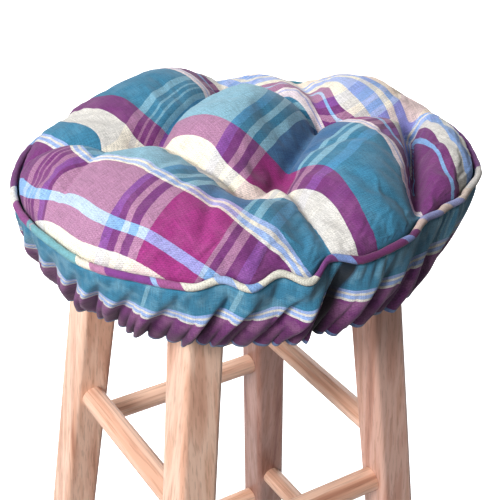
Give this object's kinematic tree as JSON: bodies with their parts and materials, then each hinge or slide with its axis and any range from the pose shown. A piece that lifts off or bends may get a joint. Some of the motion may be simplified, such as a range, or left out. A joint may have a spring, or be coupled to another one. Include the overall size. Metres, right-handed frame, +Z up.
{
  "type": "bar stool cushion on a wooden bar stool",
  "caption": "Round tufted plaid cushion with a piped edge and a gathered elastic skirt, fitted over the seat of a plain wooden bar stool with splayed legs and round rungs.",
  "frame": {"origin": "on the floor, under the middle of the whole object's bounding box; the stool's own axis is 9.3 mm to -X and 2.5 mm to -Y of it, because the cushion sits a little to one side", "axes": "+Z up; +X to the stool's right side and +Y to its back, with the stool's straight sides parallel to X and Y"},
  "size_m": [0.3882, 0.371, 0.704],
  "materials": {
    "plaid_top": "matt woven cotton, large madras check in purple, teal, cream and light blue",
    "plaid_piping": "matt woven cotton cut on the bias over a cord, in the check's colours",
    "plaid_skirt": "matt woven cotton, teal over a cream and blue triple stripe over purple, light blue at the hem",
    "wood": "fine straight-grained light hardwood, satin"
  },
  "bodies": {
    "root": {"cushion_pad": "plaid_top", "piping": "plaid_piping", "skirt": "plaid_skirt", "seat": "wood", "leg_front_left": "wood", "leg_front_right": "wood", "leg_back_right": "wood", "leg_back_left": "wood", "apron_front": "wood", "rung_front_upper": "wood", "rung_front_lower": "wood", "apron_right": "wood", "rung_right_upper": "wood", "rung_right_lower": "wood", "apron_back": "wood", "rung_back_upper": "wood", "rung_back_lower": "wood", "apron_left": "wood", "rung_left_upper": "wood", "rung_left_lower": "wood"}
  },
  "joints": []
}
